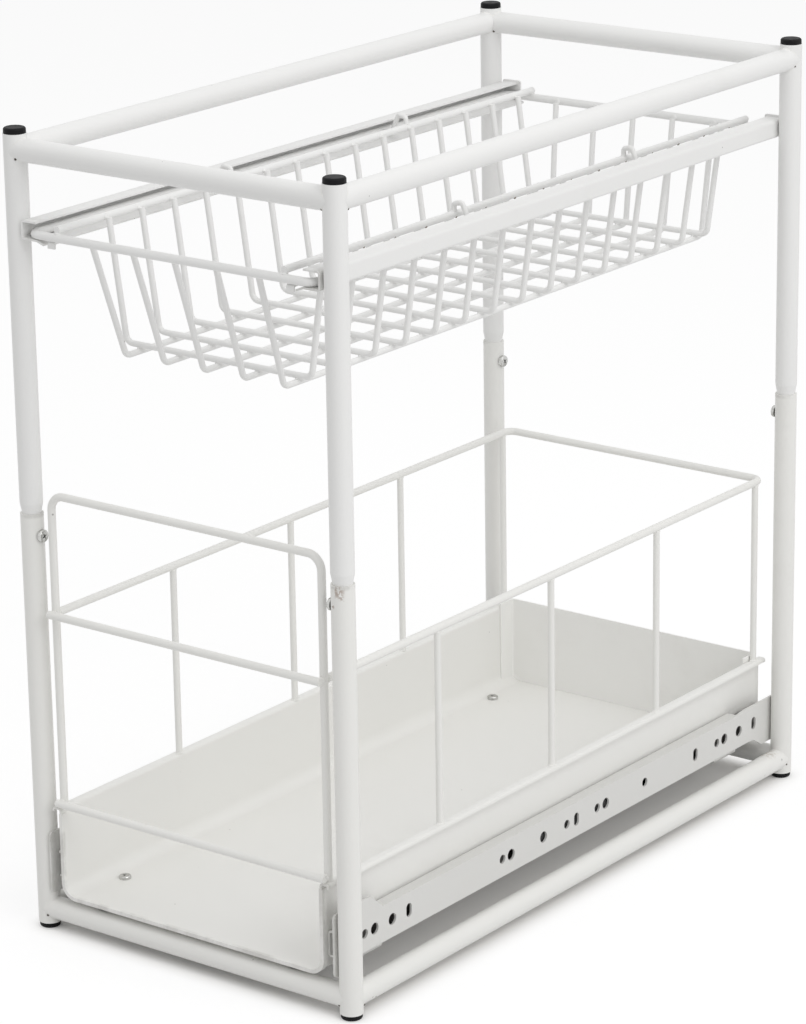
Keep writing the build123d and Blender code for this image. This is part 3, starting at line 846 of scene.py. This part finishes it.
@dataclass
class BasketRails:
    """The folded channels that carry the basket, with their stop plates."""

    mouth_y: float = -205.0 * MM
    mouth_wear: float = 9.0 * MM

    def build(self) -> None:
        """Paints the channels, rubbed where the basket's wire enters them."""
        paint = PowderCoat(
            "channel_paint",
            BRIGHT_WHITE,
            bands=(WearBand(Axis.Y, self.mouth_y, self.mouth_wear),),
        )
        dress(paint, "basket_channel_left", "basket_channel_right", "channel_stops")


@dataclass
class WireBasket:
    """The welded wire basket."""

    floor_z: float = 313.89 * MM
    long_count: int = 5
    long_pitch: float = 25.2 * MM
    long_top_pitch: float = 26.2 * MM
    cross_count: int = 15
    cross_pitch: float = 25.0 * MM
    cross_middle: float = 6.3 * MM
    rim_x: float = 88.9 * MM
    rim_z: float = 374.28 * MM
    rim_radius: float = 2.2 * MM
    rim_front: float = -203.6 * MM
    rim_back: float = 200.3 * MM
    inner_rim_x: float = 71.5 * MM
    inner_rim_z: float = 378.40 * MM
    inner_rim_radius: float = 1.9 * MM
    arm_step: int = 3
    nugget_half: float = 1.7 * MM
    nugget_rise: float = 0.9 * MM
    lap_inset: float = 0.6 * MM
    burnt: Colour = (0.20, 0.17, 0.135, 1.0)
    burnt_ash: Colour = (0.50, 0.47, 0.42, 1.0)
    burnt_turn: float = 0.62

    def build(self) -> None:
        """Paints the wires and adds the weld nuggets and burnt spots."""
        paint = PowderCoat("basket_paint", BRIGHT_WHITE, speck_scale=90.0)
        groups = tuple(f"basket_cross_wires_{number}" for number in (1, 2, 3))
        dress(
            paint,
            "basket_rim",
            "basket_inner_rims",
            "basket_long_wires",
            "basket_arms",
            "basket_stop_tabs",
            *groups,
        )
        nuggets = Workbench.spread(Workbench.nugget(), self.nuggets(), "basket_weld_nuggets")
        Workbench.finish(nuggets, Body.BASKET, Slot.WIRES, paint.material())
        spots = Workbench.spread(Workbench.nugget(), self.spot_welds(), "basket_spot_welds")
        scorched = BurntSpot("basket_burnt_spot", self.burnt, self.burnt_ash)
        Workbench.finish(spots, Body.BASKET, Slot.WIRES, scorched.material())

    def long_steps(self) -> Iterator[float]:
        """Places of the long wires across the basket, in pitches from its middle."""
        yield from (index - (self.long_count - 1) / 2 for index in range(self.long_count))

    def arm_y(self) -> Iterator[float]:
        """Places of the arms along the basket."""
        middle = (self.cross_count - 1) // 2
        yield from (self.cross_y(middle + step) for step in (-self.arm_step, self.arm_step))

    def cross_y(self, index: int) -> float:
        """Place of a cross wire, counted from the front."""
        return self.cross_middle + (index - (self.cross_count - 1) / 2) * self.cross_pitch

    def nuggets(self) -> Iterator[Matrix]:
        """Places of the weld nuggets at the wires' crossings and ends.

        Yields:
            The matrix of each nugget.
        """
        wide = self.nugget_half
        flat = self.nugget_rise
        for index in range(self.cross_count):
            y = self.cross_y(index)
            for step in self.long_steps():
                yield blob((step * self.long_pitch, y, self.floor_z), (wide, wide, flat))
            for side in (-1, 1):
                beside = side * (self.inner_rim_x - self.inner_rim_radius)
                yield blob((beside, y, self.inner_rim_z), (flat, wide, 1.5 * MM))
        for step in self.long_steps():
            for y in (self.rim_front + self.rim_radius, self.rim_back - self.rim_radius):
                yield blob((step * self.long_top_pitch, y, self.rim_z), (wide, flat, wide))
        lap_z = self.rim_z + self.rim_radius
        arm_foot = self.inner_rim_z + self.inner_rim_radius
        arm_end = self.rim_x - self.rim_radius
        for side in (-1, 1):
            for y in (self.rim_front + self.lap_inset, self.rim_back - self.lap_inset):
                yield blob((side * self.inner_rim_x, y, lap_z), (wide, wide, flat))
            for y in self.arm_y():
                yield blob((side * self.inner_rim_x, y, arm_foot), (1.6 * MM, 1.6 * MM, 0.8 * MM))
                yield blob((side * arm_end, y, self.rim_z), (0.8 * MM, 1.7 * MM, 1.5 * MM))

    def spot_welds(self) -> Iterator[Matrix]:
        """Places of the burnt spots low on the inner rims, one at each cross wire.

        Yields:
            The matrix of each spot.
        """
        for index in range(self.cross_count):
            for side in (-1, 1):
                aside = self.burnt_turn * self.inner_rim_radius
                x = side * (self.inner_rim_x + aside)
                z = self.inner_rim_z - aside
                size = (0.62 + 0.16 * math.sin(2.1 * index + side)) * MM
                yield blob((x, self.cross_y(index), z), (size, 1.2 * size, size))


@dataclass
class BallSlides:
    """The two ball slides that carry the tray."""

    front_y: float = -205.0 * MM
    middle_z: float = 36.6 * MM
    track_half: float = 8.2 * MM
    plate_top: float = 46.4 * MM
    rear_foot_y: float = 150.0 * MM
    rear_foot_share: float = 0.12
    rubbed_half: float = 6.0 * MM
    track_inset: float = 8.0 * MM
    merge_gap: float = 0.001 * MM
    sheet_crease: float = 1.0
    paint: Colour = (0.74, 0.736, 0.715, 1.0)
    # near-black cage steel is painted shade, standing for the shadow inside the slides that shows
    # through the holes
    cage_shade_dark: Colour = (0.06, 0.06, 0.062, 1.0)
    cage_shade_patch: Colour = (0.02, 0.02, 0.02, 1.0)
    chrome: Colour = (0.72, 0.72, 0.72, 1.0)

    def build(self) -> None:
        """Shapes and paints the members, and dresses the cages and balls."""
        rubbed = WearBand(Axis.Y, self.front_y, self.rubbed_half)
        paint = PowderCoat("slide_paint", self.paint, bands=(rubbed,)).material()
        for side in ("left", "right"):
            member = self.outer_member(f"slide_outer_{side}")
            stands_for = (f"slide_outer_{side}",)
            Workbench.finish(
                member, Body.FRAME, Slot.SHEETS, paint, stands_for, crease=self.sheet_crease
            )
        # the drawer members get painted shade along their running track, for the shadow inside the
        # slides seen through the holes
        track = PaintedTrackShade(self.middle_z, self.track_half, self.front_y + self.track_inset)
        dress(
            PowderCoat("drawer_member_paint", track=track),
            "slide_drawer_left",
            "slide_drawer_right",
        )
        # the cages are dark with painted shade for the shadow inside the slides
        cage_steel = PlatedSteel("cage_steel_painted_shade", self.cage_shade_dark, self.cage_shade_patch)
        dress(cage_steel, "ball_cage_left", "ball_cage_right")
        dress(PlatedSteel("ball_chrome", self.chrome, gloss=0.12), "slide_balls")

    def outer_member(self, node: str) -> bpy.types.Object:
        """Shapes an outer member from its solid, with the low rear foot of the real slide.

        Args:
            node: The CAD node that it stands for.

        Returns:
            The member, in place.
        """
        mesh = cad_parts[node].data.copy()
        member = bpy.data.objects.new(f"{node}_plate", mesh)
        bpy.context.scene.collection.objects.link(member)
        Workbench.take(member)
        bpy.ops.object.mode_set(mode="EDIT")
        bpy.ops.mesh.select_all(action="SELECT")
        bpy.ops.mesh.remove_doubles(threshold=self.merge_gap)
        bpy.ops.object.mode_set(mode="OBJECT")
        for vertex in mesh.vertices:
            if vertex.co.y > self.rear_foot_y and vertex.co.z > self.plate_top:
                rise = vertex.co.z - self.plate_top
                vertex.co.z = self.plate_top + self.rear_foot_share * rise
        return member


@dataclass
class SheetTray:
    """The folded tray with its rear panel, screws and bumpers."""

    floor_top: float = 21.6 * MM
    front_y: float = -204.6 * MM
    hem_wear: float = 3.0 * MM
    # lighter than the tray's paint: painted light that offsets the shade which the basket and the
    # top cast on the rear panel
    panel_lightened_colour: Colour = (0.92, 0.917, 0.895, 1.0)
    screw: CrossScrew = field(
        default_factory=lambda: CrossScrew(3.2 * MM, 1.9 * MM, 1.5 * MM, 3.55 * MM, 0.8 * MM)
    )

    def build(self) -> None:
        """Paints the sheet, and adds the screws in place of the plain ones."""
        hem = WearBand(Axis.Y, self.front_y, self.hem_wear)
        dress(PowderCoat("tray_paint", bands=(hem,)), "tray_trough")
        # the rear panel gets the lighter paint, painted light against its shade
        dress(PowderCoat("rear_panel_lightened_paint", self.panel_lightened_colour), "tray_rear_panel")
        dress(MouldedPlastic("bumper_plastic_black"), "tray_bumpers")
        screws = Workbench.spread(self.screw.model(), self.screw_places(), "tray_cross_screws")
        zinc = PlatedSteel("tray_screw_zinc").material()
        Workbench.finish(screws, Body.TRAY, Slot.SCREWS, zinc, ("tray_screws",))

    def screw_places(self) -> Iterator[Matrix]:
        """Places of the screws in the tray's floor.

        Yields:
            The matrix of each screw.
        """
        low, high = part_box("tray_screws")
        inset = self.screw.head_radius
        for x in (low.x + inset, high.x - inset):
            for y in (low.y + inset, high.y - inset):
                place = Matrix.Translation((x, y, self.floor_top))
                yield place @ Matrix.Rotation(17.0 * x + 9.0 * y, 4, "Z")


@dataclass
class WireGuard:
    """The wire guard that stands on the tray's flanges."""

    half_width: float = 86.8 * MM
    wire_radius: float = 2.1 * MM
    hoop_y: float = -199.6 * MM
    bar_y: float = -203.8 * MM
    flange_top: float = 70.2 * MM
    lower_z: float = 72.3 * MM
    middle_z: float = 175.4 * MM
    upright_count: int = 4
    upright_first: float = -107.6 * MM
    upright_pitch: float = 99.2 * MM

    def build(self) -> None:
        """Paints the wires and adds the weld nuggets."""
        paint = PowderCoat("guard_paint", speck_scale=90.0)
        dress(
            paint,
            "guard_hoop",
            "guard_lower_bar",
            "guard_middle_bar",
            "guard_side_wire",
            "guard_uprights_left",
            "guard_uprights_right",
        )
        nuggets = Workbench.spread(Workbench.nugget(), self.nuggets(), "guard_weld_nuggets")
        Workbench.finish(nuggets, Body.TRAY, Slot.WIRES, paint.material())

    def nuggets(self) -> Iterator[Matrix]:
        """Places of the weld nuggets of the guard.

        Yields:
            The matrix of each nugget.
        """
        between = (self.hoop_y + self.bar_y) / 2
        for side in (-1, 1):
            x = side * self.half_width
            for z in (self.lower_z, self.middle_z):
                yield blob((x, between, z), (2.0 * MM, 1.2 * MM, 2.0 * MM))
            yield blob((x, self.hoop_y, self.flange_top), (2.5 * MM, 2.5 * MM, 0.8 * MM))
            wire_end = self.hoop_y + self.wire_radius
            yield blob((x, wire_end, self.middle_z), (2.3 * MM, 1.1 * MM, 2.3 * MM))
            for index in range(self.upright_count):
                y = self.upright_first + index * self.upright_pitch
                top = self.middle_z - self.wire_radius
                yield blob((x, y, top), (1.9 * MM, 2.1 * MM, 0.9 * MM))
                yield blob((x, y, self.flange_top), (2.2 * MM, 2.4 * MM, 0.8 * MM))


@dataclass
class Studio:
    """The pale floor, the soft light and the camera."""

    floor_half: float = 9.0
    floor_colour: Colour = (0.78, 0.78, 0.78, 1.0)
    # past the footprint the floor glows strongly, painted light that washes out most of its
    # shadow; under the organizer it glows little and keeps its shadow
    open_shadow: Colour = (0.32, 0.32, 0.32, 1.0)
    open_glow: float = 0.73
    under_shadow: Colour = (0.96, 0.945, 0.92, 1.0)
    under_glow: float = 0.05
    footprint: tuple[float, float] = (106.0 * MM, 206.0 * MM)
    footprint_blur: float = 10.0 * MM
    ambient: float = 0.625
    key_power: float = 22.0
    key_place: Point = (2.2, -0.3, 1.9)
    key_size: float = 1.8
    top_power: float = 12.0
    top_place: Point = (-0.2, -0.3, 2.9)
    top_size: float = 2.2
    camera_place: Point = (1.21715, -1.61459, 0.83573)
    camera_turn: Point = (72.35524, 0.87908, 37.08701)
    lens: float = 139.794
    nearest: float = 0.1
    farthest: float = 60.0
    aim: Point = (0.0, 0.0, 0.2)

    def build(self) -> None:
        """Sets up floor, light and camera."""
        bpy.context.scene.view_settings.view_transform = "Standard"
        self.lay_floor()
        self.light_world()
        self.hang("key_softbox", self.key_power, self.key_place, self.key_size)
        self.hang("top_softbox", self.top_power, self.top_place, self.top_size)
        self.set_camera()

    @staticmethod
    def seen(bench: ShaderBench) -> Signal:
        """1 for rays that the camera, a gloss or a glass sends out, and 0 for the light's own.

        Args:
            bench: The bench of the material.

        Returns:
            The mask.
        """
        camera = bench.node("ShaderNodeLightPath", output="Is Camera Ray")
        glossy = bench.node("ShaderNodeLightPath", output="Is Glossy Ray")
        through = bench.node("ShaderNodeLightPath", output="Is Transmission Ray")
        return camera | glossy | through

    def within(self, bench: ShaderBench, axis: Axis) -> Signal:
        """1 on the floor inside the organizer's footprint along one axis, and 0 past it."""
        edge = self.footprint[axis.value]
        return abs(bench.along(axis)).fall(edge - self.footprint_blur, edge + self.footprint_blur)

    @staticmethod
    def glowing(bench: ShaderBench, shadow: Colour, glow: float) -> Signal:
        """A floor that shows part of its shadow.

        Args:
            bench: The bench of the material.
            shadow: How much of the light and shadow on it shows, and in what tint.
            glow: How much light it gives by itself.

        Returns:
            The shader.
        """
        matt = bench.node("ShaderNodeBsdfDiffuse", None, {"Color": shadow})
        lamp = bench.node("ShaderNodeEmission", None, {"Color": WHITE_LIGHT, "Strength": glow})
        return bench.node("ShaderNodeAddShader", None, {0: matt, 1: lamp})

    def lay_floor(self) -> None:
        """Lays a floor that looks white: past the organizer's footprint it glows strongly, painted
        light that washes out most of the shadow there, and under the organizer it glows little, so
        the shadow stays dark.
        """
        Workbench.clear()
        bpy.ops.mesh.primitive_plane_add(size=2 * self.floor_half)
        floor = bpy.context.object
        floor.name = "studio_floor"
        bench = ShaderBench("floor_pale")
        matt = bench.node("ShaderNodeBsdfDiffuse", None, {"Color": self.floor_colour})
        # the glow changes at the organizer's footprint: painted light outside it, the real shadow
        # beneath it
        inside = self.within(bench, Axis.X) * self.within(bench, Axis.Y)
        around = self.glowing(bench, self.open_shadow, self.open_glow)
        beneath = self.glowing(bench, self.under_shadow, self.under_glow)
        shown = bench.node("ShaderNodeMixShader", None, {0: inside, 1: around, 2: beneath})
        mixed = bench.node("ShaderNodeMixShader", None, {0: self.seen(bench), 1: matt, 2: shown})
        bench.node("ShaderNodeOutputMaterial", None, {"Surface": mixed})
        floor.data.materials.append(bench.material)
        floor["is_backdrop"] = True

    def light_world(self) -> None:
        """Sets an even pale world that shows white behind the object."""
        world = bpy.data.worlds.new("studio_world")
        bpy.context.scene.world = world
        world.use_nodes = True
        tree = world.node_tree
        tree.nodes.clear()
        path = tree.nodes.new("ShaderNodeLightPath")
        ambient = tree.nodes.new("ShaderNodeBackground")
        ambient.inputs["Color"].default_value = WHITE_LIGHT
        ambient.inputs["Strength"].default_value = self.ambient
        shown = tree.nodes.new("ShaderNodeBackground")
        shown.inputs["Color"].default_value = WHITE_LIGHT
        shown.inputs["Strength"].default_value = 1.0
        mask = path.outputs["Is Camera Ray"]
        for name in ("Is Glossy Ray", "Is Transmission Ray"):
            larger = tree.nodes.new("ShaderNodeMath")
            larger.operation = "MAXIMUM"
            tree.links.new(mask, larger.inputs[0])
            tree.links.new(path.outputs[name], larger.inputs[1])
            mask = larger.outputs[0]
        mixed = tree.nodes.new("ShaderNodeMixShader")
        out = tree.nodes.new("ShaderNodeOutputWorld")
        tree.links.new(mask, mixed.inputs[0])
        tree.links.new(ambient.outputs[0], mixed.inputs[1])
        tree.links.new(shown.outputs[0], mixed.inputs[2])
        tree.links.new(mixed.outputs[0], out.inputs["Surface"])

    def hang(self, name: str, power: float, place: Point, size: float) -> None:
        """Hangs one large soft lamp that faces the organizer.

        Args:
            name: The lamp's name.
            power: Its power in watts.
            place: Where it hangs.
            size: Its side.
        """
        data = bpy.data.lights.new(name, "AREA")
        data.energy = power
        data.size = size
        lamp = bpy.data.objects.new(name, data)
        bpy.context.scene.collection.objects.link(lamp)
        lamp.location = place
        sight = Vector(self.aim) - Vector(place)
        lamp.rotation_euler = sight.to_track_quat("-Z", "Y").to_euler()

    def set_camera(self) -> None:
        """Puts the camera where the photograph was taken from."""
        data = bpy.data.cameras.new("photo_camera")
        data.lens = self.lens
        data.clip_start = self.nearest
        data.clip_end = self.farthest
        camera = bpy.data.objects.new("photo_camera", data)
        bpy.context.scene.collection.objects.link(camera)
        camera.location = self.camera_place
        camera.rotation_euler = Euler([math.radians(turn) for turn in self.camera_turn])
        bpy.context.scene.camera = camera


def write_sizes() -> None:
    """Works out the CAD box and the visual model's box as lists, without keeping them."""
    boxes = {"cad": CAD_BOX, "visual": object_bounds()}
    {name: [list(corner) for corner in box] for name, box in boxes.items()}


def main() -> None:
    """Builds the sub-assemblies in order and sets up the studio."""
    logging.basicConfig(level=logging.INFO, format="%(name)s: %(message)s")
    assemblies = (
        TubeFrame(),
        BasketRails(),
        WireBasket(),
        BallSlides(),
        SheetTray(),
        WireGuard(),
        Studio(),
    )
    for assembly in assemblies:
        log.info("building %s", type(assembly).__name__)
        assembly.build()
    write_sizes()


if __name__ == "__main__":
    main()
